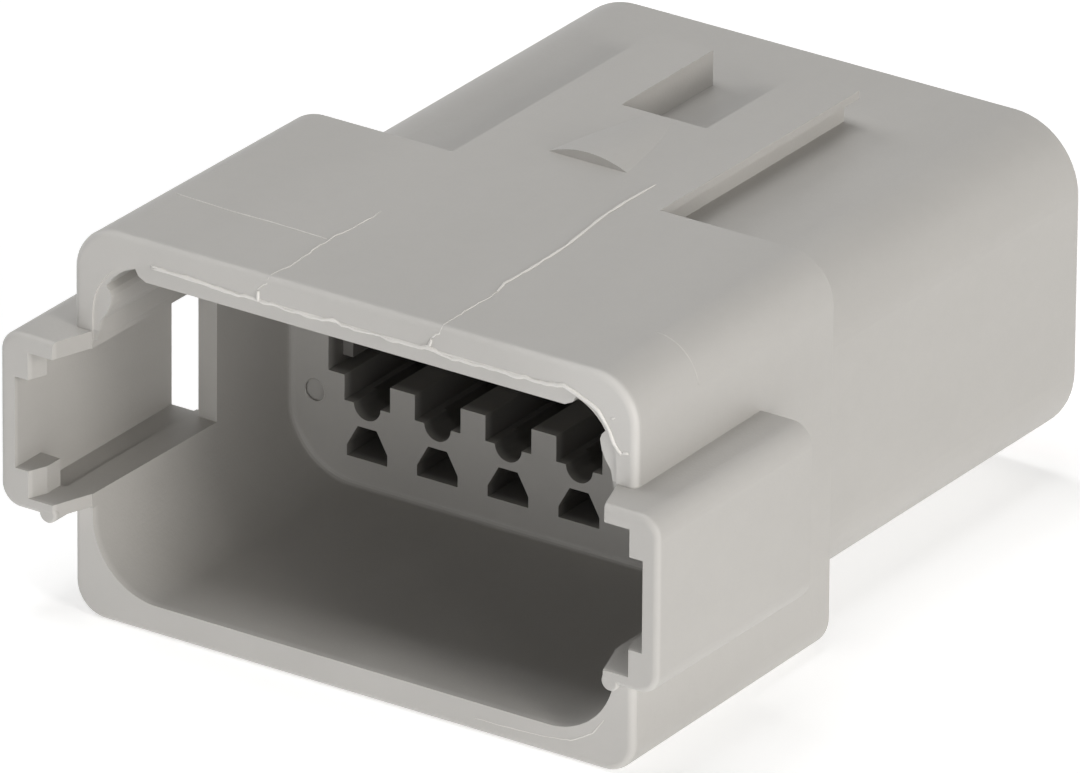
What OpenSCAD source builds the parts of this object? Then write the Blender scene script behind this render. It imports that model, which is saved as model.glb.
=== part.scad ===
// Twelve-way in-line receptacle housing for sealed vehicle wiring: one grey moulding with a drafted mating
// shroud, two outboard latch channels, a contact block with locking fingers, a clip rail on top and a rear
// skirt that holds the wire seal. Millimetres. X is the width, +Y runs from the mating mouth to the wires,
// +Z is up. The origin is the middle of the outer box, on the plane of the lowest face.

/* [Shroud] */
// Outside width of the mating shroud at its mouth
shroud_w = 36.16; // [34.6:0.02:43.5]
// How much narrower each side of the shroud is at its back than at its mouth
shroud_draft = 0.24; // [0.05:0.01:0.4]
// Outside height of the shroud
shroud_h = 22.98; // [21.7:0.02:27.6]
// Length of the shroud from the rim to its back edge
shroud_len = 19.37; // [19:0.01:23.3]
// Radius of the shroud's two upper outside corners
shroud_top_r = 2.7; // [1.5:0.1:3.2]
// Radius of the shroud's two lower outside corners
shroud_bottom_r = 1.9; // [1.5:0.1:3.2]
// Rounding of the outer front edge of the rim
rim_edge_r = 0.4; // [0.2:0.05:0.7]
// Rounding of the shroud's back edge
back_edge_r = 0.3; // [0.1:0.05:0.5]

/* [Mating cavity] */
// Side wall thickness at the rim
side_wall = 1.23; // [0.9:0.01:1.5]
// Top wall thickness at the rim
top_wall = 1.39; // [1.05:0.01:1.65]
// Bottom wall thickness at the rim
bottom_wall = 1.74; // [1.2:0.01:2]
// Depth of the mating cavity from the rim to the contact block
cavity_depth = 18.2; // [16.4:0.1:18.6]
// Narrowing of each side of the cavity down to the contact block
cavity_side_draft = 0.25; // [0.05:0.01:0.4]
// Rise of the cavity's lower face down to the contact block
cavity_bottom_draft = 0.37; // [0.05:0.01:0.5]
// Drop of the cavity's upper face down to the contact block
cavity_top_draft = 0.2; // [0.05:0.01:0.3]
// Radius of the cavity's upper corners
cavity_top_r = 3.7; // [2:0.1:4]
// Radius of the cavity's lower corners
cavity_bottom_r = 4.2; // [2.5:0.1:5]
// Fillet between the cavity walls and the contact block
floor_fillet = 0.35; // [0.1:0.05:0.6]

/* [Keying pad and ribs] */
// Width of the pad under the top wall, at its lower edge
pad_w = 27.4; // [22:0.1:28]
// How far the pad stands down from the top wall
pad_drop = 1.06; // [0.6:0.02:1.24]
// Sideways slope of each end of the pad
pad_slope = 0.55; // [0.2:0.05:1]
// How far the pad's front stands back from the rim
pad_setback = 0.15; // [0.05:0.05:1]
// Thickness of the lip that joins the pad to the ribs round the upper corners
corner_lip = 0.3; // [0.26:0.02:0.5]
// Height of the side ribs' tips above the middle plane
side_rib_z = 7.62; // [7.4:0.02:7.8]
// How far the side ribs stand in from the walls
side_rib_reach = 1.15; // [0.9:0.05:1.3]

/* [Latch channels] */
// How far each channel stands out beside the shroud
ear_out = 3.12; // [2.6:0.01:3.8]
// How far the channels stand out in front of the rim
ear_nose = 2.45; // [1.5:0.05:3]
// Where the channels end behind the rim
ear_len = 12.1; // [11.9:0.1:14.6]
// Top of the channels above the middle plane
ear_top = 5.35; // [4.8:0.05:6]
// Bottom of the channels below the middle plane
ear_bottom = 4.97; // [4.6:0.01:5.6]
// Thickness of the channels' outer walls
ear_wall = 1.0; // [0.8:0.05:1.3]
// Thickness of the channels' upper arms
ear_top_wall = 1.0; // [0.7:0.05:1.3]
// Thickness of the channels' lower arms
ear_bottom_wall = 0.75; // [0.6:0.05:1.2]
// Radius of the channels' outside corners
ear_corner_r = 1.25; // [0.6:0.05:1.6]
// Rounding of the channels' front edges
ear_edge_r = 0.37; // [0.1:0.01:0.5]
// Length of the opening through the shroud's side walls
side_cut_len = 11.37; // [9:0.01:11.5]
// Height of each latch catch at the channel's front
catch_h = 1.6; // [1:0.05:2]
// How far each latch catch stands in from the outer wall
catch_reach = 1.3; // [0.6:0.05:1.6]
// Depth of the shallow groove along the outer side of each channel's floor
floor_groove = 0.14; // [0.05:0.01:0.3]
// Width of that groove
floor_groove_w = 1.65; // [0.8:0.05:2]

/* [Contact block] */
// Width of the block and its rear skirt
body_w = 33.2; // [31.8:0.1:34]
// Height of the block and its rear skirt
body_h = 18.86; // [18.4:0.02:21]
// Where the rear skirt ends behind the rim
body_end = 45.55; // [42.85:0.1:54.75]
// Radius of the block's four long corners
body_corner_r = 4.2; // [3:0.1:5]
// Rounding of the skirt's rear edge
body_edge_r = 0.4; // [0.1:0.05:0.6]
// Distance between neighbouring contact cavities
pitch = 4.62; // [4.4:0.01:4.65]
// Height of each contact row above or below the middle plane
row_z = 4.5; // [4.3:0.01:4.6]
// Height of the wedge slot
slot_h = 6.0; // [5.8:0.05:6.1]
// Depth of the wedge slot
slot_depth = 11; // [9.5:0.1:12]
// Width of the window in front of each contact
window_w = 3.0; // [2.7:0.05:3.1]
// Radius of the half-round notch that each pin passes through
notch_r = 0.87; // [0.82:0.01:0.95]
// Length of the narrow front wall of each cavity
gate_len = 2.2; // [1.8:0.1:3]

/* [Clip rail] */
// Width of the rail's flange
rail_w = 13.44; // [11:0.04:15]
// Where the rail ends behind the rim
rail_end = 38.5; // [36:0.1:40]
// Thickness of the rail's flange
flange_t = 0.48; // [0.35:0.01:0.8]
// How far the flange overhangs the web on each side
flange_overhang = 0.95; // [0.5:0.05:1.5]
// Width of the notch in the rail's rear end
rail_notch_w = 5.54; // [4:0.02:7]
// Length of the notch in the rail's rear end
rail_notch_len = 8.95; // [6:0.05:12]
// Height of the detent bump above the rail
bump_h = 0.53; // [0.3:0.01:0.8]
// Width of the bump's front face
bump_w = 5.0; // [3:0.1:6]
// Where the bump's front face stands behind the rim
bump_y = 22.2; // [21:0.1:24]
// Length over which the bump runs out into the rail
bump_len = 7.3; // [5:0.1:8]

/* [Wire seal] */
// Depth of the pocket that holds the seal
pocket_depth = 8.7; // [7:0.1:9.5]
// Wall thickness of the skirt round the pocket
skirt_wall = 1.4; // [1.1:0.05:1.8]
// How far the seal stands back inside the skirt
seal_recess = 1.2; // [0.5:0.1:2]
// Depth of the grooves between the seal's perimeter ribs
seal_groove = 0.5; // [0.3:0.05:0.8]
// Radius of each wire hole at its sealing lips
wire_hole_r = 1.05; // [0.8:0.05:1.2]

/* [Hidden] */
$fn = 96;

columns = 6;
over = 1;
hw = shroud_w / 2;
hz = shroud_h / 2;
cav_hw = hw - side_wall;
cav_top = hz - top_wall;
cav_bottom = -hz + bottom_wall;
body_hw = body_w / 2;
body_hz = body_h / 2;
ear_hw = hw + ear_out;
chan_hw = ear_hw - ear_wall;
chan_top = ear_top - ear_top_wall;
chan_bottom = -ear_bottom + ear_bottom_wall;
step_clear = 0.01;
shift = [0, (ear_nose - body_end) / 2, hz];

// contact cavities, from the wedge slot outwards
slot_hz = slot_h / 2;
slot_end = cavity_depth + slot_depth;
slot_hw = 2.5 * pitch + window_w / 2 + 1.06;
slot_key = 0.66;
slot_key_hz = slot_hz - 0.4;
slot_key_set = 1.4;
throat_r = 1.1;
barrel_r = 1.45;
entry_r = 1.85;
throat_end = cavity_depth + 6.2;
barrel_end = slot_end + 1.8;
finger_w = window_w - 0.7;
finger_t = 0.85;
finger_set = 5.2;
finger_nib = 0.4;
nib_len = 1.5;

// core-out pocket outside each contact: half-widths and heights above the row
core_top = [0.62, 1.33];
core_mid = [1.33, 2.6];
core_low = [1.33, 3.25];
core_depth = 5.6;
mark_r = 0.65;
mark_deep = 0.15;
mark_pos = [body_hw - 1.6, 4.44];

// rail
web_hw = rail_w / 2 - flange_overhang;
notch_hw = rail_notch_w / 2;
bump_r = (bump_w * bump_w / 4 + bump_h * bump_h) / (2 * bump_h);
bump_tilt = atan(bump_h / bump_len);

// seal
pocket_hw = body_hw - skirt_wall;
pocket_hz = body_hz - skirt_wall;
pocket_r = body_corner_r - skirt_wall;
pocket_y = body_end - pocket_depth;
mouth_bevel = 0.4;
seal_clear = 0.03;
seal_len = pocket_depth - seal_recess;
rib_count = 3;
rib_t = 1.3;
rib_step = (seal_len - rib_t) / (rib_count - 1);
lip_relief = 0.4;

// Outline of a rounded rectangle in X and Z. hw half width, zb and zt the lower and upper edge,
// rb and rt the lower and upper corner radii.
module outline(hw, zb, zt, rb, rt) {
    polygon([
        [-hw + rb, zb], [hw - rb, zb], [hw, zb + rb], [hw, zt - rt],
        [hw - rt, zt], [-hw + rt, zt], [-hw, zt - rt], [-hw, zb + rb]
    ]);
    for (s = [-1, 1]) {
        translate([s * (hw - rb), zb + rb]) circle(rb);
        translate([s * (hw - rt), zt - rt]) circle(rt);
    }
}

// An outline in X and Z run along Y from y0 to y1.
module along(y0, y1) {
    translate([0, y1, 0]) rotate([90, 0, 0]) linear_extrude(y1 - y0) children();
}

// A plan outline in X and Y run along Z from z0 to z1.
module upright(z0, z1) {
    translate([0, 0, z0]) linear_extrude(z1 - z0) children();
}

module both_sides() {
    children();
    mirror([1, 0, 0]) children();
}

// Runs a flat section round a rounded rectangle. In the section, x is outwards from the outline and y is
// the depth along Y.
module around(hw, zb, zt, rb, rt) {
    both_sides() {
        translate([hw, 0, zb + rb]) linear_extrude(zt - rt - zb - rb) children();
        translate([hw - rt, 0, zt - rt]) rotate([-90, 0, 0]) rotate([0, 0, 270])
            rotate_extrude(angle = 90) translate([rt, 0]) children();
        translate([hw - rb, 0, zb + rb]) rotate([-90, 0, 0])
            rotate_extrude(angle = 90) translate([rb, 0]) children();
    }
    translate([hw - rt, 0, zt]) rotate([0, -90, 0]) linear_extrude(2 * (hw - rt)) children();
    translate([-hw + rb, 0, zb]) rotate([0, 90, 0]) linear_extrude(2 * (hw - rb)) children();
}

// A rounded front end of depth r for a bar with this outline: face at y = 0, full size at y = r.
module soft_front(hw, zb, zt, rb, rt, r) {
    along(0, r) outline(hw - r, zb + r, zt - r, rb - r, rt - r);
    around(hw, zb, zt, rb, rt) intersection() {
        translate([-r, r]) circle(r);
        translate([-r, 0]) square(r);
    }
}

module soft_rear(hw, zb, zt, rb, rt, r) {
    mirror([0, 1, 0]) soft_front(hw, zb, zt, rb, rt, r);
}

// Right half of the shroud's outline, run back and turned by the draft angle.
module shroud_half() {
    y0 = rim_edge_r;
    y1 = shroud_len - back_edge_r;
    intersection() {
        translate([-over, y0, -shroud_h]) cube([shroud_w, y1 - y0, 2 * shroud_h]);
        translate([hw, 0, 0]) rotate([0, 0, atan(shroud_draft / shroud_len)]) along(-over, shroud_len + over) {
            polygon([
                [-hw - over, -hz], [-shroud_bottom_r, -hz], [0, -hz + shroud_bottom_r],
                [0, hz - shroud_top_r], [-shroud_top_r, hz], [-hw - over, hz]
            ]);
            translate([-shroud_top_r, hz - shroud_top_r]) circle(shroud_top_r);
            translate([-shroud_bottom_r, -hz + shroud_bottom_r]) circle(shroud_bottom_r);
        }
    }
}

module shroud() {
    front_hw = hw - shroud_draft * rim_edge_r / shroud_len - step_clear;
    rear_hw = hw - shroud_draft - step_clear;
    both_sides() shroud_half();
    soft_front(front_hw, -hz, hz, shroud_bottom_r, shroud_top_r, rim_edge_r);
    translate([0, shroud_len, 0])
        soft_rear(rear_hw, -hz, hz, shroud_bottom_r, shroud_top_r, back_edge_r);
}

// Thin slice of the mating cavity at depth y, drawn in by inset.
module cavity_slice(y, inset) {
    k = y / cavity_depth;
    along(y - 0.01, y) outline(
        cav_hw - cavity_side_draft * k - inset,
        cav_bottom + cavity_bottom_draft * k + inset,
        cav_top - cavity_top_draft * k - inset,
        cavity_bottom_r - inset,
        cavity_top_r - inset
    );
}

module mating_cavity() {
    hull() {
        cavity_slice(-over, 0);
        for (a = [0 : 22.5 : 90])
            cavity_slice(cavity_depth - floor_fillet * (1 - sin(a)), floor_fillet * (1 - cos(a)));
    }
}

// Keying pad under the top wall, the two ribs beside it and the thin lips between them.
module pad_and_ribs() {
    pad_z = cav_top - pad_drop;
    lead = 0.25;
    along(pad_setback, cavity_depth + over) polygon([
        [-pad_w / 2 - pad_slope, cav_top + top_wall / 3], [-pad_w / 2 - pad_slope, cav_top - lead],
        [-pad_w / 2 - lead, pad_z + lead], [-pad_w / 2 + lead, pad_z],
        [pad_w / 2 - lead, pad_z], [pad_w / 2 + lead, pad_z + lead],
        [pad_w / 2 + pad_slope, cav_top - lead], [pad_w / 2 + pad_slope, cav_top + top_wall / 3]
    ]);
    tip = cav_hw - side_rib_reach;
    root = cav_hw + side_wall / 3;
    both_sides() along(pad_setback, cavity_depth + over) {
        polygon([
            [root, side_rib_z + 0.9], [tip + 0.45, side_rib_z + 0.7], [tip + 0.1, side_rib_z + 0.3],
            [tip, side_rib_z], [tip + 0.12, side_rib_z - 0.6], [tip + 0.35, side_rib_z - 1.1],
            [tip + 0.7, side_rib_z - 1.6], [tip + 0.93, side_rib_z - 2.8], [root, side_rib_z - 2.9]
        ]);
        intersection() {
            translate([pad_w / 2, side_rib_z]) square([side_wall + cav_hw - pad_w / 2, shroud_h]);
            corner_band();
        }
    }
}

// Band just inside the cavity's outline, reaching a little into the wall.
module corner_band() {
    deep = side_wall / 3;
    in = corner_lip;
    difference() {
        outline(cav_hw + deep, cav_bottom, cav_top + deep, cavity_bottom_r, cavity_top_r + deep);
        outline(cav_hw - in, cav_bottom - over, cav_top - in, cavity_bottom_r, cavity_top_r - in);
    }
}

// Outer skins of the two latch channels, still solid inside.
module ear_block() {
    difference() {
        union() {
            translate([0, -ear_nose, 0])
                soft_front(ear_hw, -ear_bottom, ear_top, ear_corner_r, ear_corner_r, ear_edge_r);
            along(ear_edge_r - ear_nose, ear_len)
                outline(ear_hw, -ear_bottom, ear_top, ear_corner_r, ear_corner_r);
        }
        upright(-shroud_h, shroud_h) polygon([
            [-hw + 0.33, -ear_nose - over], [hw - 0.33, -ear_nose - over], [hw - 0.33, -ear_nose],
            [cav_hw + 0.05, 0], [cav_hw + 0.05, over], [-cav_hw - 0.05, over], [-cav_hw - 0.05, 0],
            [-hw + 0.33, -ear_nose]
        ]);
    }
}

// The room in each latch channel, with the opening through the shroud's side wall.
module channel_room() {
    wall_hw = hw - shroud_draft * ear_len / shroud_len - step_clear;
    both_sides() {
        along(-ear_nose - over, side_cut_len)
            translate([cav_hw - over, chan_bottom]) square([hw - cav_hw + 2 * over, chan_top - chan_bottom]);
        along(-ear_nose - over, ear_len + over)
            translate([wall_hw, chan_bottom]) square([chan_hw - wall_hw, chan_top - chan_bottom]);
        along(0, ear_len + over) translate([chan_hw - floor_groove_w, chan_bottom - floor_groove])
            square([floor_groove_w, floor_groove + over]);
    }
}

// Catches at the front corners of each channel, which the mating part's latch snaps behind.
module catches() {
    nose = chan_hw - catch_reach;
    outer = chan_hw + ear_wall / 2;
    both_sides() for (z = [chan_bottom - ear_bottom_wall / 2, chan_top - catch_h]) {
        top = z < 0 ? chan_bottom + catch_h : chan_top + ear_top_wall / 2;
        upright(z, top) polygon([
            [outer, -ear_nose + ear_edge_r], [chan_hw, -ear_nose], [nose + 0.45, -ear_nose],
            [nose, -ear_nose + 1.15], [nose, -0.1], [outer, -0.1]
        ]);
    }
}

module clip_rail() {
    difference() {
        along(shroud_len - 2 * back_edge_r, rail_end) {
            translate([-rail_w / 2, hz - flange_t]) square([rail_w, flange_t]);
            translate([-web_hw, body_hz - over]) square([2 * web_hw, hz - body_hz + over - flange_t / 2]);
        }
        translate([-notch_hw, rail_end - rail_notch_len, body_hz])
            cube([rail_notch_w, rail_notch_len + over, shroud_h]);
    }
    intersection() {
        translate([-bump_w, bump_y, hz - flange_t / 2]) cube([2 * bump_w, bump_len, bump_h * 2]);
        translate([0, bump_y, hz + bump_h - bump_r]) rotate([-90 - bump_tilt, 0, 0])
            translate([0, 0, -over]) cylinder(r = bump_r, h = bump_len + 3 * over);
    }
}

// Locking finger of one upper cavity, cut free on its slot side, with a nib that holds the contact.
module finger() {
    z1 = slot_hz;
    y0 = cavity_depth + finger_set;
    translate([-finger_w / 2, 0, 0]) rotate([90, 0, 90]) linear_extrude(finger_w) polygon([
        [slot_end + over, z1 - finger_t], [y0 + 0.4, z1 - finger_t], [y0, z1 - finger_t + 0.3],
        [y0, z1 + finger_nib], [y0 + nib_len / 3, z1 + finger_nib], [y0 + nib_len, z1],
        [slot_end + over, z1]
    ]);
}

// Everything that one contact passes through, from the block's face to the seal's pocket.
module contact_cavity() {
    along(cavity_depth - over, slot_end) polygon([
        [-window_w / 2, slot_hz - 0.2], [window_w / 2, slot_hz - 0.2],
        [window_w / 2, row_z], [-window_w / 2, row_z]
    ]);
    translate([0, 0, row_z]) {
        along(cavity_depth - over, cavity_depth + gate_len + over) circle(notch_r);
        along(cavity_depth + gate_len, throat_end) circle(throat_r);
        along(throat_end, barrel_end) circle(barrel_r);
        along(barrel_end, pocket_y + over) circle(entry_r);
    }
}

// Pocket that the mould's core leaves outside each contact.
module core_pocket() {
    along(cavity_depth - over, cavity_depth + core_depth) translate([0, row_z]) polygon([
        [-core_top[0], core_top[1]], [core_top[0], core_top[1]], [core_mid[0], core_mid[1]],
        [core_low[0], core_low[1]], [-core_low[0], core_low[1]], [-core_mid[0], core_mid[1]]
    ]);
}

module contact_rows() {
    for (up = [0, 1]) mirror([0, 0, up])
        for (i = [0 : columns - 1])
            translate([(i - (columns - 1) / 2) * pitch, 0, 0]) children();
}

module wedge_slot() {
    difference() {
        along(cavity_depth - over, slot_end) translate([-slot_hw, -slot_hz]) square([2 * slot_hw, slot_h]);
        both_sides() along(cavity_depth + slot_key_set, slot_end + over)
            translate([slot_hw - slot_key, -slot_key_hz]) square([slot_key + over, 2 * slot_key_hz]);
    }
}

module seal_pocket() {
    along(pocket_y, body_end + over) outline(pocket_hw, -pocket_hz, pocket_hz, pocket_r, pocket_r);
    translate([0, body_end, 0]) around(pocket_hw, -pocket_hz, pocket_hz, pocket_r, pocket_r) polygon([
        [0, -mouth_bevel], [mouth_bevel + 0.1, 0.1], [-mouth_bevel, 0.1], [-mouth_bevel, -mouth_bevel]
    ]);
}

module block() {
    along(cavity_depth - over, body_end - body_edge_r)
        outline(body_hw, -body_hz, body_hz, body_corner_r, body_corner_r);
    translate([0, body_end, 0])
        soft_rear(body_hw, -body_hz, body_hz, body_corner_r, body_corner_r, body_edge_r);
}

module housing() {
    color([0.66, 0.66, 0.64]) translate(shift) difference() {
        union() {
            difference() {
                union() {
                    shroud();
                    ear_block();
                    block();
                    clip_rail();
                }
                mating_cavity();
                channel_room();
            }
            pad_and_ribs();
            catches();
        }
        difference() {
            union() {
                wedge_slot();
                contact_rows() contact_cavity();
            }
            contact_rows() finger();
        }
        contact_rows() core_pocket();
        seal_pocket();
        for (x = [-1, 1]) for (z = [-1, 1])
            translate([x * mark_pos[0], 0, z * mark_pos[1]])
                along(cavity_depth - over, cavity_depth + mark_deep) circle(mark_r);
    }
}

// One wire hole: three sealing lips, wider between them.
module wire_hole() {
    wide = wire_hole_r + lip_relief;
    flare = wire_hole_r + 2 * lip_relief;
    translate([0, pocket_y, 0]) rotate([-90, 0, 0]) rotate_extrude() polygon([
        [0, -over], [flare, -over], [flare, 0], [wire_hole_r, 1], [wire_hole_r, 1.5],
        [wide, 2.1], [wide, seal_len / 2 - 0.9], [wire_hole_r, seal_len / 2 - 0.3],
        [wire_hole_r, seal_len / 2 + 0.3], [wide, seal_len / 2 + 0.9], [wide, seal_len - 2.1],
        [wire_hole_r, seal_len - 1.5], [wire_hole_r, seal_len - 1], [flare, seal_len],
        [flare, seal_len + over], [0, seal_len + over]
    ]);
}

// Soft block with ribs round its edge, pushed into the skirt from behind.
module wire_seal() {
    rib_hw = pocket_hw - seal_clear;
    rib_hz = pocket_hz - seal_clear;
    rib_r = pocket_r - seal_clear;
    g = seal_groove;
    color([0.78, 0.34, 0.2]) translate(shift) difference() {
        union() {
            along(pocket_y, pocket_y + seal_len) outline(rib_hw - g, g - rib_hz, rib_hz - g, rib_r - g, rib_r - g);
            for (i = [0 : rib_count - 1])
                translate([0, pocket_y + i * rib_step + rib_t / 2, 0])
                    around(rib_hw, -rib_hz, rib_hz, rib_r, rib_r) polygon([
                        [-g - 0.2, -rib_t / 2], [-g, -rib_t / 2], [-0.1, -rib_t / 4], [0, 0],
                        [-0.1, rib_t / 4], [-g, rib_t / 2], [-g - 0.2, rib_t / 2]
                    ]);
        }
        contact_rows() translate([0, 0, row_z]) wire_hole();
    }
}

housing();
wire_seal();
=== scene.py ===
"""Looks of a grey twelve-way receptacle housing and its wire seal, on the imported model's frame."""

import logging
import math
from dataclasses import dataclass
from enum import Enum
from typing import Any

import bmesh
import bpy
from mathutils import Matrix, Vector, noise


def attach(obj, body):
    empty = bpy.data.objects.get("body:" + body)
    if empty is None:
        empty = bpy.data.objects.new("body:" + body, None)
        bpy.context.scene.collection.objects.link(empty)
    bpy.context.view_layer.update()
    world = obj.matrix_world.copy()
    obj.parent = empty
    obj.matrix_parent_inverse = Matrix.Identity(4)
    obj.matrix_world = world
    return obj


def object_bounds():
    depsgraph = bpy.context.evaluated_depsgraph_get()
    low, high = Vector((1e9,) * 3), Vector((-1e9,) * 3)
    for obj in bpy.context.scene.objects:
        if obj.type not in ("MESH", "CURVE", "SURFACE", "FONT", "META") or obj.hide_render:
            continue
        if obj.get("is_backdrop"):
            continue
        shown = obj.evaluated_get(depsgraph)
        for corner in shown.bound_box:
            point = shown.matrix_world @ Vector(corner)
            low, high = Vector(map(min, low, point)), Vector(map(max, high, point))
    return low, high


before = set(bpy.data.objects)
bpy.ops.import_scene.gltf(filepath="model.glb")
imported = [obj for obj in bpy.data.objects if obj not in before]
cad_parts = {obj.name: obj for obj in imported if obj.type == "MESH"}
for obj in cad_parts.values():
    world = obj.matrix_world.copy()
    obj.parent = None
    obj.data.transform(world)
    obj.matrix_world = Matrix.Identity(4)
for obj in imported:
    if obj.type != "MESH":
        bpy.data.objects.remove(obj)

LOG = logging.getLogger("receptacle")
MM = 0.001

# The rim plane and the middle plane of the mating mouth in the frame's own axes, in millimetres.
RIM_Y = -21.55
MID_Z = 11.49

# Tint of the lamps on the right.
WARM = (1.0, 0.975, 0.94)
WHITE = (1.0, 1.0, 1.0, 1.0)

# Numbers of the Mix node's colour sockets.
MIX_FIRST, MIX_SECOND, MIX_RESULT = 6, 7, 2

# What a node's input takes: a term, a number, a colour or a vector.
Value = Any

Colour = tuple[float, float, float, float]
Triple = tuple[float, float, float]
Point = Triple
Span = tuple[float, float]


class Studio(Enum):
    """Names of the things that light or carry the object."""

    FLOOR = "studio_floor"
    KEY = "key_softbox"
    KEY_BELOW = "key_below_softbox"
    LOW_RIGHT = "low_right_softbox"
    BACK_RIGHT = "back_right_softbox"
    TOP = "top_softbox"
    TOP_LEFT = "top_left_softbox"
    LEFT = "left_softbox"
    FRONT = "front_softbox"
    CAMERA = "photo_camera"


class Slot(Enum):
    """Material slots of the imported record."""

    HOUSING = "housing"
    WIRE_SEAL = "wire_seal"


class Term:
    """One shader socket with arithmetic, so that shader maths reads as an expression."""

    def __init__(self, graph: "Graph", socket: bpy.types.NodeSocket) -> None:
        """Keeps the graph and the socket that this term stands for."""
        self.graph = graph
        self.socket = socket

    def _math(self, operation: str, *values: Value) -> "Term":
        """Adds one Math node."""
        return self.graph.node(
            "ShaderNodeMath", {"operation": operation}, dict(enumerate(values))
        )

    def __add__(self, other: Value) -> "Term":
        """Sum."""
        return self._math("ADD", self, other)

    def __radd__(self, other: Value) -> "Term":
        """Sum, with the number first."""
        return self._math("ADD", other, self)

    def __sub__(self, other: Value) -> "Term":
        """Difference."""
        return self._math("SUBTRACT", self, other)

    def __rsub__(self, other: Value) -> "Term":
        """Difference, with the number first."""
        return self._math("SUBTRACT", other, self)

    def __mul__(self, other: Value) -> "Term":
        """Product."""
        return self._math("MULTIPLY", self, other)

    def __truediv__(self, other: Value) -> "Term":
        """Quotient."""
        return self._math("DIVIDE", self, other)

    def __abs__(self) -> "Term":
        """Size without sign."""
        return self._math("ABSOLUTE", self)

    def at_least(self, other: Value) -> "Term":
        """Larger of the two."""
        return self._math("MAXIMUM", self, other)

    def root(self) -> "Term":
        """Square root."""
        return self._math("SQRT", self)

    def ramp(
        self, low: float, high: float, out_low: float = 0.0, out_high: float = 1.0
    ) -> "Term":
        """Maps a range to another one with soft ends.

        Args:
            low: Value that gives out_low.
            high: Value that gives out_high.
            out_low: Result at and below low.
            out_high: Result at and above high.

        Returns:
            The mapped value.
        """
        settings = {"interpolation_type": "SMOOTHSTEP"}
        values = dict(enumerate((self, low, high, out_low, out_high)))
        return self.graph.node("ShaderNodeMapRange", settings, values)

    def fall(self, low: float, high: float) -> "Term":
        """Gives 1 up to low and 0 from high on, with a soft change between them."""
        return self.ramp(low, high, 1.0, 0.0)


@dataclass(frozen=True)
class Texture:
    """One noise: features in a millimetre, number of finer layers and their strength."""

    per_mm: float
    detail: float
    rough: float


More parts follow.
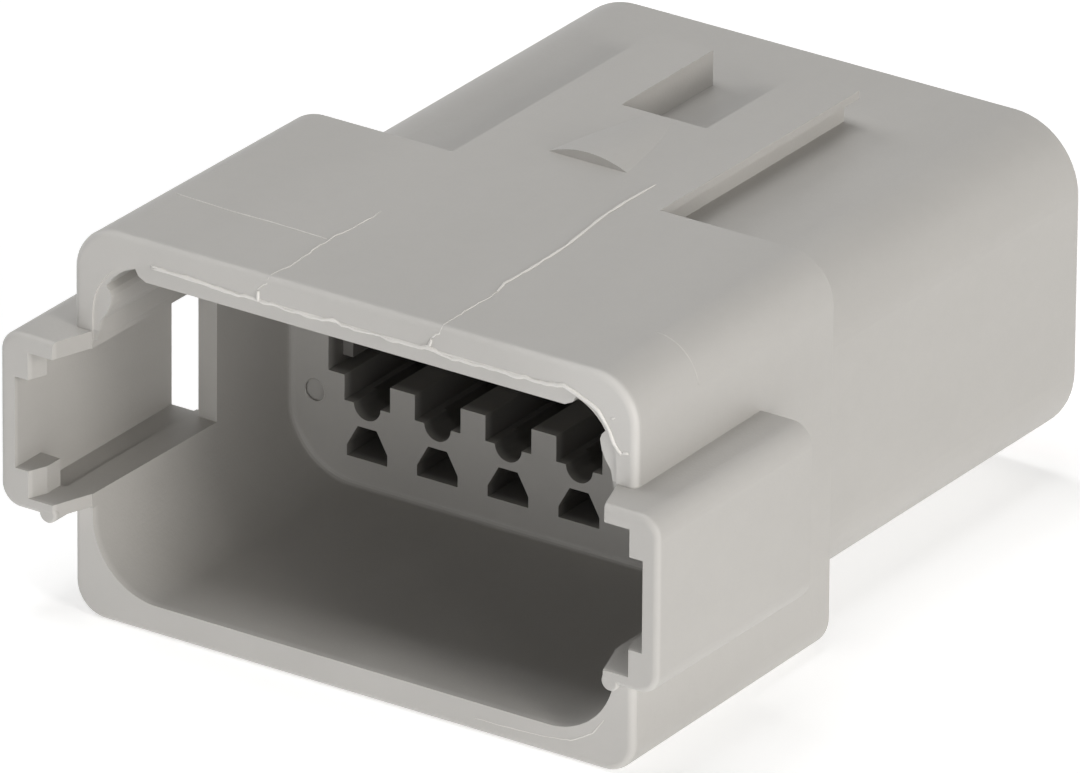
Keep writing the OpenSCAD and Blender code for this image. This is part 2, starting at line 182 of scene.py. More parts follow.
class Graph:
    """The node tree of one material or world, built from terms."""

    def __init__(self, tree: bpy.types.NodeTree) -> None:
        """Empties the tree and keeps it."""
        self.tree = tree
        tree.nodes.clear()

    def node(
        self,
        kind: str,
        settings: dict[str, Any] | None = None,
        values: dict[Any, Value] | None = None,
        out: int | str = 0,
    ) -> Term:
        """Adds a node of any type.

        Args:
            kind: Blender's name of the node type.
            settings: Properties that are set first, such as an operation.
            values: Value or term for each input, by name or number.
            out: Output that the returned term reads.

        Returns:
            The chosen output, or the first input of a node without outputs.
        """
        made = self.tree.nodes.new(kind)
        for name, setting in (settings or {}).items():
            setattr(made, name, setting)
        for key, value in (values or {}).items():
            if isinstance(value, Term):
                self.tree.links.new(value.socket, made.inputs[key])
            else:
                made.inputs[key].default_value = value
        return Term(self, made.outputs[out] if len(made.outputs) else made.inputs[0])

    def object_place(self) -> Term:
        """Object coordinates in metres."""
        return self.node("ShaderNodeTexCoord", out="Object")

    def split(self, vector: Term) -> tuple[Term, Term, Term]:
        """Gives a vector's three numbers."""
        outputs = self.node("ShaderNodeSeparateXYZ", values={0: vector}).socket.node.outputs
        return tuple(Term(self, output) for output in outputs)

    def stretched(self, vector: Term, factor: Triple) -> Term:
        """Scales a vector along each axis."""
        settings = {"operation": "MULTIPLY"}
        return self.node("ShaderNodeVectorMath", settings, {0: vector, 1: factor})

    def noise(self, place: Term, texture: Texture) -> Term:
        """Adds a noise.

        Args:
            place: Coordinates in metres.
            texture: Its features.

        Returns:
            Noise from 0 to 1.
        """
        values = {
            "Vector": place,
            "Scale": texture.per_mm / MM,
            "Detail": texture.detail,
            "Roughness": texture.rough,
        }
        return self.node("ShaderNodeTexNoise", {}, values, "Fac")

    def mixed(self, factor: Value, first: Value, second: Value) -> Term:
        """Blends two colours.

        Args:
            factor: Share of the second colour.
            first: Colour at a factor of 0.
            second: Colour at a factor of 1.

        Returns:
            The blend.
        """
        settings = {"data_type": "RGBA", "blend_type": "MIX"}
        values = {0: factor, MIX_FIRST: first, MIX_SECOND: second}
        return self.node("ShaderNodeMix", settings, values, MIX_RESULT)

    def bump(
        self, height: Term, deep_mm: float, strength: float, under: Term | None = None
    ) -> Term:
        """Turns a height from 0 to 1 into a normal.

        Args:
            height: The height.
            deep_mm: Depth of the full height, in millimetres.
            strength: Share of the effect.
            under: Normal of a coarser bump below this one.

        Returns:
            The bent normal.
        """
        values = {"Height": height, "Distance": deep_mm * MM, "Strength": strength}
        if under is not None:
            values["Normal"] = under
        return self.node("ShaderNodeBump", {}, values, "Normal")

    def plastic(self, base: Term, rough: Term, normal: Term, ior: float, specular: float) -> Term:
        """Adds the shader of a plain plastic or rubber.

        Args:
            base: Colour.
            rough: Roughness.
            normal: Normal.
            ior: Index of refraction.
            specular: Strength of the shine, of which 0.5 is the full one.

        Returns:
            The shader.
        """
        values = {
            "Base Color": base,
            "Roughness": rough,
            "Normal": normal,
            "IOR": ior,
            "Specular IOR Level": specular,
        }
        return self.node("ShaderNodeBsdfPrincipled", {}, values)

    def glow(self, strength: float) -> Term:
        """Adds a white emission."""
        return self.node("ShaderNodeEmission", {}, {"Color": WHITE, "Strength": strength})

    def seen(self) -> Term:
        """Tells what the camera sees.

        Returns:
            1 for a ray that shows the background to the camera, straight, by a reflection or
            through a clear piece, and 0 for a ray that lights the object.
        """
        path = self.node("ShaderNodeLightPath", out="Is Camera Ray")
        glossy = Term(self, path.socket.node.outputs["Is Glossy Ray"])
        through = Term(self, path.socket.node.outputs["Is Transmission Ray"])
        return path.at_least(glossy).at_least(through)

    def either(self, hidden: Term, shown: Term) -> Term:
        """Gives one shader to the rays that light the object and another to those of seen()."""
        return self.node("ShaderNodeMixShader", {}, {0: self.seen(), 1: hidden, 2: shown})

    def surface(self, shader: Term, kind: str = "ShaderNodeOutputMaterial") -> None:
        """Joins a shader to the output, which is a material's unless another kind is named."""
        self.node(kind, {}, {"Surface": shader})


def new_material(name: str) -> tuple[bpy.types.Material, Graph]:
    """Makes a material without nodes.

    Args:
        name: The material's name.

    Returns:
        The material and the graph that takes its nodes.
    """
    material = bpy.data.materials.new(name)
    material.use_nodes = True
    return material, Graph(material.node_tree)


def new_object(name: str, data: bpy.types.ID) -> bpy.types.Object:
    """Makes an object in the scene.

    Args:
        name: The object's name.
        data: Its mesh, lamp or camera.

    Returns:
        The object, at the origin.
    """
    made = bpy.data.objects.new(name, data)
    bpy.context.scene.collection.objects.link(made)
    return made


def arc(centre: Point, radius: float, angle: float, count: int) -> list[Point]:
    """Gives the points of an arc across Y that starts above its centre and runs towards +X.

    Args:
        centre: The centre.
        radius: The radius.
        angle: Angle of the whole arc, in radians.
        count: Number of steps.

    Returns:
        The points, one more than the steps.
    """
    x, y, z = centre
    turns = [angle * i / count for i in range(count + 1)]
    return [(x + radius * math.sin(turn), y, z + radius * math.cos(turn)) for turn in turns]


@dataclass(frozen=True)
class Burr:
    """A fine raised line where two mould inserts meet.

    Points are X, Y and Z from the mouth's middle, and the route runs straight between them. Stray
    is how far the line wanders from it. All are millimetres. The raised line is geometry, and its
    paler colour is a painted highlight; a faint line is hardly paler than its face.
    """

    name: str
    points: tuple[Point, ...]
    radius: float
    stray: float = 0.1
    faint: bool = False


@dataclass(frozen=True)
class Ring:
    """A raised ring in a plane across Y, with a round section.

    Its numbers are millimetres from the mouth's middle.
    """

    name: str
    centre: Point
    radius: float
    bead: float


@dataclass(frozen=True)
class MouthEdge:
    """Route of the uneven burr along the mouth's upper edge, in millimetres.

    Jogs are X and Z of the uneven run along the keying pad. From there it follows the rounded
    corner down to the right-hand rib, where it ends at the foot, which is X and Z past the rib's
    upper edge. Where a jog is lower than the lip, the burr lies on the pad, as far back as
    pad_back. The bead fills the corner between lip and pad, and its place is Y and Z.
    """

    half_width: float = 16.88
    top: float = 10.14
    corner: float = 3.7
    rib_top: float = 7.6
    foot: Span = (0.3, 0.42)
    step: float = 0.3
    lip: float = 10.05
    pad_back: float = 0.075
    bead_half: float = 13.0
    bead_place: Span = (0.1, 10.02)
    jogs: tuple[Span, ...] = (
        (-13.0, 10.12), (-6.9, 10.03), (-6.0, 9.97), (-4.6, 9.93), (-3.66, 9.88), (-2.9, 9.84),
        (-2.2, 9.93), (-1.25, 10.12), (-0.7, 9.92), (0.8, 9.98), (1.5, 9.93), (2.8, 9.91),
        (3.8, 9.95), (4.86, 10.1), (5.9, 9.9), (9.4, 9.95), (12.7, 10.07),
    )

    def right_side(self) -> list[Point]:
        """Follows the right-hand corner.

        Returns:
            The points from the top down to the rib.
        """
        centre = (self.half_width - self.corner, 0.0, self.top - self.corner)
        quarter = math.pi / 2
        count = round(quarter * self.corner / self.step)
        turned = arc(centre, self.corner, quarter, count)[1:]
        foot = (self.half_width + self.foot[0], 0.0, self.rib_top - self.foot[1])
        return [point for point in turned if point[2] > self.rib_top] + [foot]

    def points(self) -> tuple[Point, ...]:
        """Gives the whole route from left to right."""
        return tuple([(x, self._sunk(z), z) for x, z in self.jogs] + self.right_side())

    def bead(self) -> tuple[Point, ...]:
        """Gives the straight route of the bead in the corner between lip and pad."""
        return ((-self.bead_half, *self.bead_place), (self.bead_half, *self.bead_place))

    def _sunk(self, z: float) -> float:
        """Sinks the line where it dips below the lip, so that it lies on the pad behind it."""
        return min(max(self.lip - z, 0.0), self.pad_back)


@dataclass(frozen=True)
class MouldLines:
    """Every burr of the housing, in millimetres.

    Top is the height of the shroud's upper face and edge the radius between it and the rim. The
    lines on the rim bend towards it line_drop below the upper face. The shoulder is the centre of
    the shroud's rounded right upper edge where the faint line crosses it, and shoulder_turn is
    that line's angle in degrees.
    """

    top: float = 11.49
    edge: float = 0.4
    line_drop: float = 0.5
    shoulder: Point = (15.3, 6.02, 8.79)
    shoulder_radius: float = 2.66
    shoulder_turn: float = 82.0
    shoulder_steps: int = 12
    low_arc: tuple[Span, ...] = (
        (8.0, -10.7), (12.2, -10.55), (14.1, -10.33), (15.5, -9.5), (16.2, -8.55),
    )
    left_front: tuple[Span, ...] = (
        (-5.3, 1.7), (-5.46, 4.4), (-5.54, 6.4), (-5.36, 8.7), (-5.35, 10.5),
    )
    right_front: tuple[Span, ...] = ((5.56, 2.4), (5.61, 3.9), (5.53, 5.4))
    right_back: tuple[Span, ...] = (
        (5.53, 5.4), (5.27, 6.6), (5.3, 8.5), (5.26, 12.2), (4.75, 16.0), (4.6, 19.0),
        (4.64, 21.8),
    )
    side: tuple[Span, ...] = ((-15.7, 6.1), (-12.0, 5.9), (-9.2, 5.96), (-5.7, 5.86))

    def burrs(self) -> list[Burr]:
        """Lists the burrs.

        Returns:
            Every burr with its route, radius and stray.
        """
        below = self.top - self.line_drop
        left = (*self._rim((-6.06, 10.6), (-5.7, below)), *self._over(-5.5))
        right = (*self._rim((5.08, 10.7), (5.4, below)), *self._over(5.6))
        step = self._rim((17.15, 7.2), (17.35, 7.3), (17.6, 7.36))
        mouth = MouthEdge()
        return [
            Burr("mouth_burr", mouth.points(), 0.12, 0.16),
            Burr("rim_step_right", step, 0.06),
            Burr("mouth_bead", mouth.bead(), 0.11, 0.02),
            Burr("rim_speck", self._rim((16.56, 9.08), (16.64, 9.16)), 0.11),
            Burr("rim_arc", self._rim(*self.low_arc), 0.03, 0.05),
            Burr("tick_left", self._rim((-6.08, 9.95), (-6.06, 10.6)), 0.09),
            Burr("line_left", (*left, *self._top(self.left_front)), 0.042),
            Burr("tick_right", self._rim((4.86, 10.08), (5.08, 10.7)), 0.09),
            Burr("line_right", (*right, *self._top(self.right_front)), 0.04),
            Burr("line_right_back", self._top(self.right_back), 0.085, 0.05),
            Burr("line_side", self._top(self.side), 0.035),
            Burr("line_shoulder", self._over_shoulder(), 0.07, 0.01, faint=True),
        ]

    def _rim(self, *places: Span) -> tuple[Point, ...]:
        """Puts X and Z on the rim's face."""
        return tuple((x, 0.0, z) for x, z in places)

    def _top(self, places: tuple[Span, ...]) -> tuple[Point, ...]:
        """Puts X and Y on the shroud's upper face."""
        return tuple((x, y, self.top) for x, y in places)

    def _over(self, x: float) -> tuple[Point, ...]:
        """Takes a route over the rim's rounded outer edge.

        Args:
            x: Place along the edge.

        Returns:
            A point at the edge's front, middle and back.
        """
        sunk = self.edge * (1 - math.sqrt(0.5))
        front, back = (x, 0.0, self.top - self.edge), (x, self.edge, self.top)
        return (front, (x, sunk, self.top - sunk), back)

    def _over_shoulder(self) -> tuple[Point, ...]:
        """Gives the route of the line over the shroud's rounded right shoulder."""
        angle = math.radians(self.shoulder_turn)
        return tuple(arc(self.shoulder, self.shoulder_radius, angle, self.shoulder_steps))


@dataclass(frozen=True)
class Finishes:
    """The finished materials."""

    nylon: bpy.types.Material
    silicone: bpy.types.Material
    pale: bpy.types.Material
    faint: bpy.types.Material


@dataclass(frozen=True)
class Moulding:
    """Fine raised forms of the mouldings: burrs, ejector rings, arm ends and the seal's collars.

    Sizes are millimetres and places are from the mouth's middle. Step, sides and turn_steps are
    the fineness of the meshes. A burr wanders in waves of wander_length and, at fine_wander of
    their strength, in waves fine_ratio times shorter. It tapers to taper_end of its radius, and it
    swells and thins by up to the share swell, swell_per_mm times in a millimetre.
    """

    step: float = 0.22
    sides: int = 10
    turn_steps: int = 48
    wander_length: float = 1.4
    fine_ratio: float = 3.0
    fine_wander: float = 0.6
    taper_end: float = 0.4
    taper_power: float = 0.25
    swell: float = 0.5
    swell_per_mm: float = 0.9
    mark: Point = (15.0, 18.2, 4.44)
    mark_radius: float = 0.65
    mark_bead: float = 0.045
    seal_face: float = 44.35
    columns: int = 6
    pitch: float = 4.62
    row: float = 4.5
    collar_radius: float = 2.03
    collar_bead: float = 0.2
    arm_end: Point = (18.13, -2.43, -4.84)
    arm_radius: float = 0.54
    arm_length: float = 2.6
    arm_edge: float = 0.16
    arm_edge_steps: int = 4

    def marks(self) -> list[Ring]:
        """Lists the rings round the ejector marks.

        Returns:
            One ring for each mark.
        """
        x, y, z = self.mark
        places = [(side * x, y, level * z) for side in (-1, 1) for level in (-1, 1)]
        return [
            Ring(f"mark_ring_{i + 1}", place, self.mark_radius, self.mark_bead)
            for i, place in enumerate(places)
        ]

    def collars(self) -> list[Ring]:
        """Lists the soft collars of the seal.

        Returns:
            One ring for each wire hole.
        """
        across = [(column - (self.columns - 1) / 2) * self.pitch for column in range(self.columns)]
        places = [(x, self.seal_face, side * self.row) for side in (-1, 1) for x in across]
        return [
            Ring(f"seal_collar_{i + 1}", place, self.collar_radius, self.collar_bead)
            for i, place in enumerate(places)
        ]

    def _stations(self, burr: Burr) -> list[Vector]:
        """Cuts a burr's route into short steps and lets it stray a little within its face.

        Args:
            burr: The burr, with its route.

        Returns:
            The stations, in metres in the frame.
        """
        corners = [Vector(point) for point in burr.points]
        places = []
        for first, second in zip(corners, corners[1:]):
            count = max(1, round((second - first).length / self.step))
            places += [first.lerp(second, i / count) for i in range(count)]
        places.append(corners[-1])
        on_rim = burr.points[0][1] == burr.points[-1][1] == 0.0
        stray = Vector((0.0, 0.0, burr.stray)) if on_rim else Vector((burr.stray, 0.0, 0.0))
        shift = Vector((0.0, RIM_Y, MID_Z))
        return [(place + stray * self._aside(place) + shift) * MM for place in places]

    def _aside(self, place: Vector) -> float:
        """Gives the wander at a place, broad and fine together."""
        fine = noise.noise(place / (self.wander_length / self.fine_ratio))
        return noise.noise(place / self.wander_length) + self.fine_wander * fine

    def _sweep(self, burr: Burr) -> bpy.types.Object:
        """Sweeps a small ring of points along a burr's route.

        Args:
            burr: The burr to make.

        Returns:
            The new piece, at the origin.
        """
        places = self._stations(burr)
        last = len(places) - 1
        shape = bmesh.new()
        radius = burr.radius * MM
        ring = bmesh.ops.create_circle(shape, segments=self.sides, radius=radius)["verts"]
        edges = list(shape.edges)
        bmesh.ops.contextual_create(shape, geom=edges)
        before = Matrix.Identity(4)
        for i, place in enumerate(places):
            ahead = places[min(i + 1, last)] - places[max(i - 1, 0)]
            middle = math.sin(math.pi * (i + 0.5) / (last + 1)) ** self.taper_power
            taper = self.taper_end + (1.0 - self.taper_end) * middle
            uneven = 1.0 + self.swell * noise.noise(place / MM * self.swell_per_mm)
            turn = ahead.to_track_quat("Z", "Y").to_matrix().to_4x4()
            now = Matrix.Translation(place) @ turn @ Matrix.Scale(taper * uneven, 4)
            if i:
                made = bmesh.ops.extrude_edge_only(shape, edges=edges)["geom"]
                ring = [part for part in made if isinstance(part, bmesh.types.BMVert)]
                edges = [part for part in made if isinstance(part, bmesh.types.BMEdge)]
            bmesh.ops.transform(shape, matrix=now @ before.inverted(), verts=ring)
            before = now
        bmesh.ops.contextual_create(shape, geom=edges)
        return self._piece(burr.name, shape)

    def _turn(self, ring: Ring) -> bpy.types.Object:
        """Turns a small circle about the ring's middle.

        Args:
            ring: The ring to make.

        Returns:
            The new piece, at the origin.
        """
        centre = (Vector(ring.centre) + Vector((0.0, RIM_Y, MID_Z))) * MM
        shape = bmesh.new()
        place = Matrix.Translation(centre + Vector((ring.radius * MM, 0.0, 0.0)))
        bmesh.ops.create_circle(shape, segments=self.sides, radius=ring.bead * MM, matrix=place)
        bmesh.ops.spin(
            shape,
            geom=list(shape.verts) + list(shape.edges),
            cent=centre,
            axis=(0.0, 1.0, 0.0),
            angle=2 * math.pi,
            steps=self.turn_steps,
            use_merge=True,
        )
        return self._piece(ring.name, shape)

    def _arm_end(self, side: int) -> bpy.types.Object:
        """Makes the round bead on the inner end of a channel's lower arm.

        Args:
            side: 1 for the right-hand channel and -1 for the left-hand one.

        Returns:
            The new piece, at the origin.
        """
        x, y, z = self.arm_end
        middle = Vector((side * x, y + self.arm_length / 2 + RIM_Y, z + MID_Z)) * MM
        shape = bmesh.new()
        bmesh.ops.create_cone(
            shape,
            cap_ends=True,
            segments=self.turn_steps,
            radius1=self.arm_radius * MM,
            radius2=self.arm_radius * MM,
            depth=self.arm_length * MM,
            matrix=Matrix.Translation(middle) @ Matrix.Rotation(math.pi / 2, 4, "X"),
        )
        rims = [e for e in shape.edges if any(len(face.verts) > 4 for face in e.link_faces)]
        bmesh.ops.bevel(
            shape,
            geom=rims,
            offset=self.arm_edge * MM,
            segments=self.arm_edge_steps,
            profile=0.5,
            affect="EDGES",
            material=-1,
        )
        return self._piece("arm_end_right" if side > 0 else "arm_end_left", shape)

    @staticmethod
    def _piece(name: str, shape: bmesh.types.BMesh) -> bpy.types.Object:
        """Turns a finished shape into an object and frees it.

        Args:
            name: The piece's name.
            shape: The shape, in metres in the frame.

        Returns:
            The new piece, at the origin.
        """
        bmesh.ops.recalc_face_normals(shape, faces=shape.faces)
        for face in shape.faces:
            face.smooth = len(face.verts) == 4
        mesh = bpy.data.meshes.new(name)
        shape.to_mesh(mesh)
        shape.free()
        return new_object(name, mesh)

    def build(self, finishes: Finishes) -> list[bpy.types.Object]:
        """Makes every raised form.

        Args:
            finishes: The materials.

        Returns:
            The new pieces.
        """
        burrs = MouldLines().burrs()
        pale = [self._sweep(burr) for burr in burrs if not burr.faint]
        faint = [self._sweep(burr) for burr in burrs if burr.faint]
        marks = [self._turn(ring) for ring in self.marks()]
        ends = [self._arm_end(side) for side in (-1, 1)]
        collars = [self._turn(ring) for ring in self.collars()]
        groups = (
            (pale, finishes.pale, Slot.HOUSING),
            (faint, finishes.faint, Slot.HOUSING),
            (marks + ends, finishes.nylon, Slot.HOUSING),
            (collars, finishes.silicone, Slot.WIRE_SEAL),
        )
        for made, material, slot in groups:
            for piece in made:
                piece.data.materials.append(material)
                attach(piece, "root")
        return pale + faint + marks + ends + collars


@dataclass(frozen=True)
class MouldedNylon:
    """Light warm-grey moulded nylon with a fine eroded texture and soft flow clouds.

    The spans of places are millimetres from the mouth's middle, along one axis, and each is a
    soft change. The rim's face is mixed towards a paler colour as painted light, except at the
    height of the latch channels, and more so up and to the right, as a painted highlight. The
    channels' front faces get a little painted light. The contact block takes a dark colour of
    painted shade within its core, which is a rounded rectangle.
    """

    name: str = "warm_grey_nylon"
    light: Colour = (0.47, 0.458, 0.438, 1.0)
    dark: Colour = (0.42, 0.409, 0.39, 1.0)
    # Painted shade: the dark colour of the contact block's cavities.
    painted_shade: Colour = (0.2, 0.192, 0.18, 1.0)
    # Painted light: the paler colour that the rim's and the channels' front faces are mixed towards.
    painted_light: Colour = (1.0, 0.985, 0.96, 1.0)
    rim_painted_light: float = 0.15
    front_painted_light: float = 0.11
    # Painted highlight on the rim, up and to the right.
    painted_highlight: float = 0.14
    rim_front: Span = (-0.4, -0.1)
    rim_back: Span = (0.1, 0.6)
    channel_bottom: Span = (-5.1, -5.02)
    channel_top: Span = (5.38, 5.45)
    highlight_right: Span = (8.0, 16.0)
    highlight_up: Span = (-9.0, 3.0)
    ear_front: Span = (-2.3, -2.1)
    block_front: Span = (18.22, 19.0)
    core_half: Span = (15.2, 8.03)
    core_corner: float = 2.8
    core_fade: Span = (0.1, 0.4)
    cloud: Texture = Texture(0.09, 3.0, 0.55)
    cloud_stretch: Triple = (1.0, 0.45, 1.0)
    speck: Texture = Texture(1.1, 3.0, 0.6)
    grain: Texture = Texture(7.0, 2.0, 0.55)
    coarse_grain: Texture = Texture(2.6, 2.0, 0.5)
    cloud_ends: Span = (0.3, 0.7)
    tone_ends: Span = (0.25, 0.8)
    speck_tone: float = 0.35
    roughness: float = 0.5
    grain_roughness: float = 0.16
    cloud_roughness: float = 0.12
    cloud_depth: float = 0.12
    cloud_bump: float = 0.5
    grain_share: float = 0.6
    grain_depth: float = 0.022
    grain_bump: float = 0.55
    ior: float = 1.48
    specular: float = 0.42

    def build(self) -> bpy.types.Material:
        """Makes the material.

        Returns:
            The finished material.
        """
        material, graph = new_material(self.name)
        place = graph.object_place()
        clouds = graph.noise(graph.stretched(place, self.cloud_stretch), self.cloud)
        specks = graph.noise(place, self.speck)
        grain = graph.noise(place, self.grain)
        coarse_grain = graph.noise(place, self.coarse_grain)

        tone = clouds.ramp(*self.cloud_ends, *self.tone_ends) + (specks - 0.5) * self.speck_tone
        base = self._painted(graph, place, graph.mixed(tone, self.dark, self.light))
        rough = (
            self.roughness
            + (grain - 0.5) * self.grain_roughness
            + (clouds - 0.5) * self.cloud_roughness
        )
        broad = graph.bump(clouds, self.cloud_depth, self.cloud_bump)
        grains = grain * self.grain_share + coarse_grain * (1.0 - self.grain_share)
        normal = graph.bump(grains, self.grain_depth, self.grain_bump, broad)
        graph.surface(graph.plastic(base, rough, normal, self.ior, self.specular))
        return material

    def _painted(self, graph: Graph, place: Term, base: Term) -> Term:
        """Paints light onto the front faces and shade into the contact block's core.

        Args:
            graph: The material's graph.
            place: Coordinates in metres.
            base: Colour of the plain nylon.

        Returns:
            The colour everywhere.
        """
        metres_x, metres_y, metres_z = graph.split(place)
        x, y, z = metres_x / MM, metres_y / MM - RIM_Y, metres_z / MM - MID_Z
        channels = z.ramp(*self.channel_bottom) * z.fall(*self.channel_top)
        rim = y.fall(*self.rim_back) * y.ramp(*self.rim_front) * (1.0 - channels)
        # Painted light on the rim, with a painted highlight added up and to the right.
        rim_painted_share = self.rim_painted_light + x.ramp(*self.highlight_right) * z.ramp(*self.highlight_up) * self.painted_highlight
        # Painted light on the rim and on the channels' front faces.
        painted_light_share = rim * rim_painted_share + y.fall(*self.ear_front) * self.front_painted_light

        beyond_x = (abs(x) - self.core_half[0] + self.core_corner).at_least(0.0)
        beyond_z = (abs(z) - self.core_half[1] + self.core_corner).at_least(0.0)
        core = (beyond_x * beyond_x + beyond_z * beyond_z).root() - self.core_corner
        # Painted shade within the contact block's core.
        block = y.ramp(*self.block_front) * core.fall(*self.core_fade)
        return graph.mixed(block, graph.mixed(painted_light_share, base, self.painted_light), self.painted_shade)


@dataclass(frozen=True)
class SiliconeRubber:
    """Brick-orange silicone, smooth and slightly dusty."""

    name: str = "brick_silicone"
    light: Colour = (0.50, 0.105, 0.035, 1.0)
    dark: Colour = (0.36, 0.066, 0.022, 1.0)
    dust: Colour = (0.55, 0.26, 0.18, 1.0)
    cloud: Texture = Texture(0.35, 3.0, 0.5)
    grain: Texture = Texture(5.0, 2.0, 0.5)
    dusting: Texture = Texture(1.7, 4.0, 0.65)
    dust_ends: Span = (0.5, 0.8)
    dust_share: float = 0.22
    roughness: float = 0.55
    dust_roughness: float = 0.3
    grain_depth: float = 0.015
    grain_bump: float = 0.5
    ior: float = 1.41
    specular: float = 0.5

    def build(self) -> bpy.types.Material:
        """Makes the material.

        Returns:
            The finished material.
        """
        material, graph = new_material(self.name)
        place = graph.object_place()
        clouds = graph.noise(place, self.cloud)
        grain = graph.noise(place, self.grain)
        dusting = graph.noise(place, self.dusting)
        dusty = dusting.ramp(*self.dust_ends, 0.0, self.dust_share)
        base = graph.mixed(dusty, graph.mixed(clouds, self.dark, self.light), self.dust)
        rough = self.roughness + (dusting - 0.5) * self.dust_roughness
        normal = graph.bump(grain, self.grain_depth, self.grain_bump)
        graph.surface(graph.plastic(base, rough, normal, self.ior, self.specular))
        return material


@dataclass(frozen=True)
class Receptacle:
    """The housing moulding and the seal in its skirt, as the CAD model has them."""

    nylon: MouldedNylon = MouldedNylon()
    silicone: SiliconeRubber = SiliconeRubber()
    # The burrs are raised geometry, and their paler colours are a painted highlight; the faint
    # line's is hardly paler.
    pale: MouldedNylon = MouldedNylon(
        "burr_painted_highlight_nylon", (0.7, 0.684, 0.655, 1.0), (0.61, 0.596, 0.57, 1.0)
    )
    faint: MouldedNylon = MouldedNylon(
        "faint_line_painted_highlight_nylon", (0.535, 0.521, 0.498, 1.0), (0.48, 0.467, 0.446, 1.0)
    )
    moulding: Moulding = Moulding()

    def dress(self, nodes: dict[str, bpy.types.Object]) -> None:
        """Gives each CAD node its finish and adds the fine raised forms.

        Args:
            nodes: The frame's objects by node name.
        """
        finishes = Finishes(
            nylon=self.nylon.build(),
            silicone=self.silicone.build(),
            pale=self.pale.build(),
            faint=self.faint.build(),
        )
        for slot, material in (
            (Slot.HOUSING, finishes.nylon),
            (Slot.WIRE_SEAL, finishes.silicone),
        ):
            piece = nodes[slot.value]
            piece.data.materials.clear()
            piece.data.materials.append(material)
            LOG.info("dressed %s with %s", slot.value, material.name)
        LOG.info("added %d raised forms", len(self.moulding.build(finishes)))


@dataclass(frozen=True)
class PhotoCamera:
    """The photograph's camera, fitted to the edges of the housing.

    Angles are degrees. Picture_px is the photograph's size, mouth_px the place of the mouth's
    middle in it, and px_per_mm the scale there. Sensor is millimetres and clip is metres.
    """

    azimuth: float = 33.965
    pitch: float = 24.648
    roll: float = 0.46
    focal_px: float = 19108.0
    mouth_px: Span = (351.71, 499.03)
    picture_px: Span = (1080.0, 773.0)
    px_per_mm: float = 18.86
    sensor: float = 36.0
    clip: Span = (0.05, 20.0)

    def build(self) -> bpy.types.Object:
        """Makes the camera and sets it as the scene's.

        Returns:
            The camera object.
        """
        azimuth, pitch, roll = (math.radians(v) for v in (self.azimuth, self.pitch, self.roll))
        away = math.cos(pitch)
        ahead = Vector((-math.sin(azimuth) * away, math.cos(azimuth) * away, -math.sin(pitch)))
        level = Vector((math.cos(azimuth), math.sin(azimuth), 0.0))
        upright = level.cross(ahead)
        right = math.cos(roll) * level + math.sin(roll) * upright
        up = -math.sin(roll) * level + math.cos(roll) * upright
        aside = self.mouth_px[0] - self.picture_px[0] / 2
        above = self.picture_px[1] / 2 - self.mouth_px[1]
        back = -(aside * right + above * up + self.focal_px * ahead) / self.px_per_mm
        place = (back + Vector((0.0, RIM_Y, MID_Z))) * MM

        data = bpy.data.cameras.new(Studio.CAMERA.value)
        data.sensor_width = self.sensor
        data.lens = self.sensor * self.focal_px / self.picture_px[0]
        data.clip_start, data.clip_end = self.clip
        camera = new_object(Studio.CAMERA.value, data)
        turn = Matrix((right, up, -ahead)).transposed().to_4x4()
        camera.matrix_world = Matrix.Translation(place) @ turn
        bpy.context.scene.camera = camera
        return camera


@dataclass(frozen=True)
class Softbox:
    """A square soft lamp that points at the object's middle.

    Azimuth 0 is in front of the mouth and 90 beside the right-hand channel. A power of 1 gives a
    facing white sheet a brightness of 1. Side and distance are metres.
    """

    name: Studio
    azimuth: float
    elevation: float
    power: float
    side: float = 0.45
    distance: float = 0.9
    colour: Triple = (1.0, 1.0, 1.0)

    def build(self, target: Vector) -> bpy.types.Object:
        """Makes the lamp.

        Args:
            target: The point that it faces.

        Returns:
            The lamp object.
        """
        data = bpy.data.lights.new(self.name.value, "AREA")
        data.shape = "SQUARE"
        data.size = self.side
        data.energy = self.power * (math.pi * self.distance) ** 2
        data.color = self.colour
        lamp = new_object(self.name.value, data)
        azimuth, elevation = math.radians(self.azimuth), math.radians(self.elevation)
        level = math.cos(elevation)
        away = Vector((math.sin(azimuth) * level, -math.cos(azimuth) * level, math.sin(elevation)))
        lamp.location = target + away * self.distance
        lamp.rotation_euler = away.to_track_quat("Z", "Y").to_euler()
        return lamp


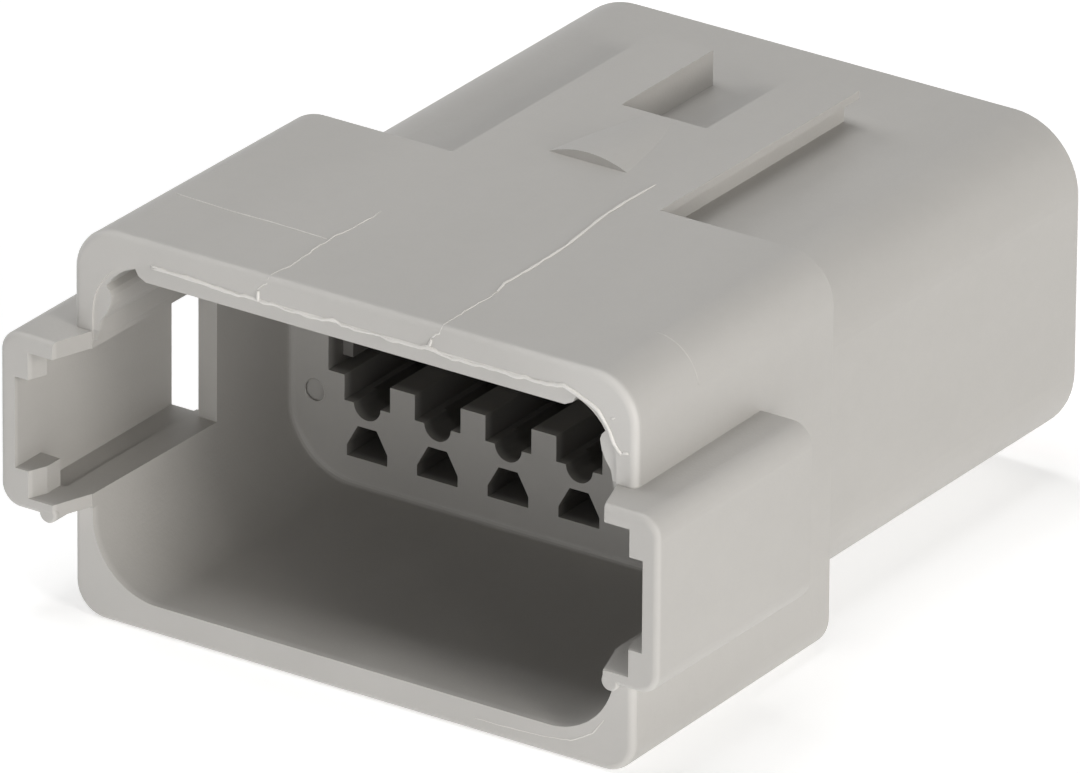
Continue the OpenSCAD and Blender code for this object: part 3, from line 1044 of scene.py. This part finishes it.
@dataclass(frozen=True)
class StudioSet:
    """Pale floor, soft lamps and a world that is white to the camera and lights nothing.

    The floor's glow is what the camera sees besides its paint, and its fill is what lights the
    object from below.
    """

    floor_side: float = 6.0
    floor_paint: Colour = (0.8, 0.8, 0.8, 1.0)
    floor_glow: float = 0.5
    floor_fill: float = 0.43
    lamps: tuple[Softbox, ...] = (
        Softbox(Studio.KEY, 75.0, 25.0, 0.2, 0.2, colour=WARM),
        Softbox(Studio.KEY_BELOW, 75.0, 12.0, 0.25, 0.2, colour=WARM),
        Softbox(Studio.LOW_RIGHT, 60.0, 7.0, 0.16, 0.2, colour=WARM),
        Softbox(Studio.BACK_RIGHT, 127.0, 25.0, 0.1),
        Softbox(Studio.TOP, 0.0, 88.0, 0.28),
        Softbox(Studio.TOP_LEFT, -90.0, 70.0, 0.19),
        Softbox(Studio.LEFT, -90.0, 35.0, 0.25),
        Softbox(Studio.FRONT, 0.0, 6.0, 0.15, 0.18),
    )

    def build(self) -> None:
        """Makes the floor, the world and the lamps."""
        self._floor()
        self._world()
        low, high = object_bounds()
        for lamp in self.lamps:
            lamp.build((low + high) / 2)
        bpy.context.scene.view_settings.view_transform = "Standard"

    def _floor(self) -> None:
        """Makes the floor, white to the camera but for the object's shadow."""
        mesh = bpy.data.meshes.new(Studio.FLOOR.value)
        sheet = bmesh.new()
        bmesh.ops.create_grid(sheet, x_segments=1, y_segments=1, size=self.floor_side / 2)
        sheet.to_mesh(mesh)
        sheet.free()
        floor = new_object(Studio.FLOOR.value, mesh)
        material, graph = new_material("pale_floor")
        paint = graph.node("ShaderNodeBsdfDiffuse", {}, {"Color": self.floor_paint})
        fill, glow = graph.glow(self.floor_fill), graph.glow(self.floor_glow)
        lit = graph.node("ShaderNodeAddShader", {}, {0: paint, 1: fill})
        shown = graph.node("ShaderNodeAddShader", {}, {0: paint, 1: glow})
        graph.surface(graph.either(lit, shown))
        mesh.materials.append(material)
        floor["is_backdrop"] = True

    def _world(self) -> None:
        """Makes the world."""
        world = bpy.data.worlds.new("studio")
        world.use_nodes = True
        bpy.context.scene.world = world
        graph = Graph(world.node_tree)
        unlit, white = (
            graph.node("ShaderNodeBackground", {}, {"Color": WHITE, "Strength": strength})
            for strength in (0.0, 1.0)
        )
        graph.surface(graph.either(unlit, white), "ShaderNodeOutputWorld")


def main() -> None:
    """Builds the looks in order."""
    logging.basicConfig(level=logging.INFO, format="%(name)s: %(message)s")
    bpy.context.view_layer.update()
    PhotoCamera().build()
    Receptacle().dress(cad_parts)
    StudioSet().build()
    LOG.info("built %d pieces", len(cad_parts))


if __name__ == "__main__":
    main()
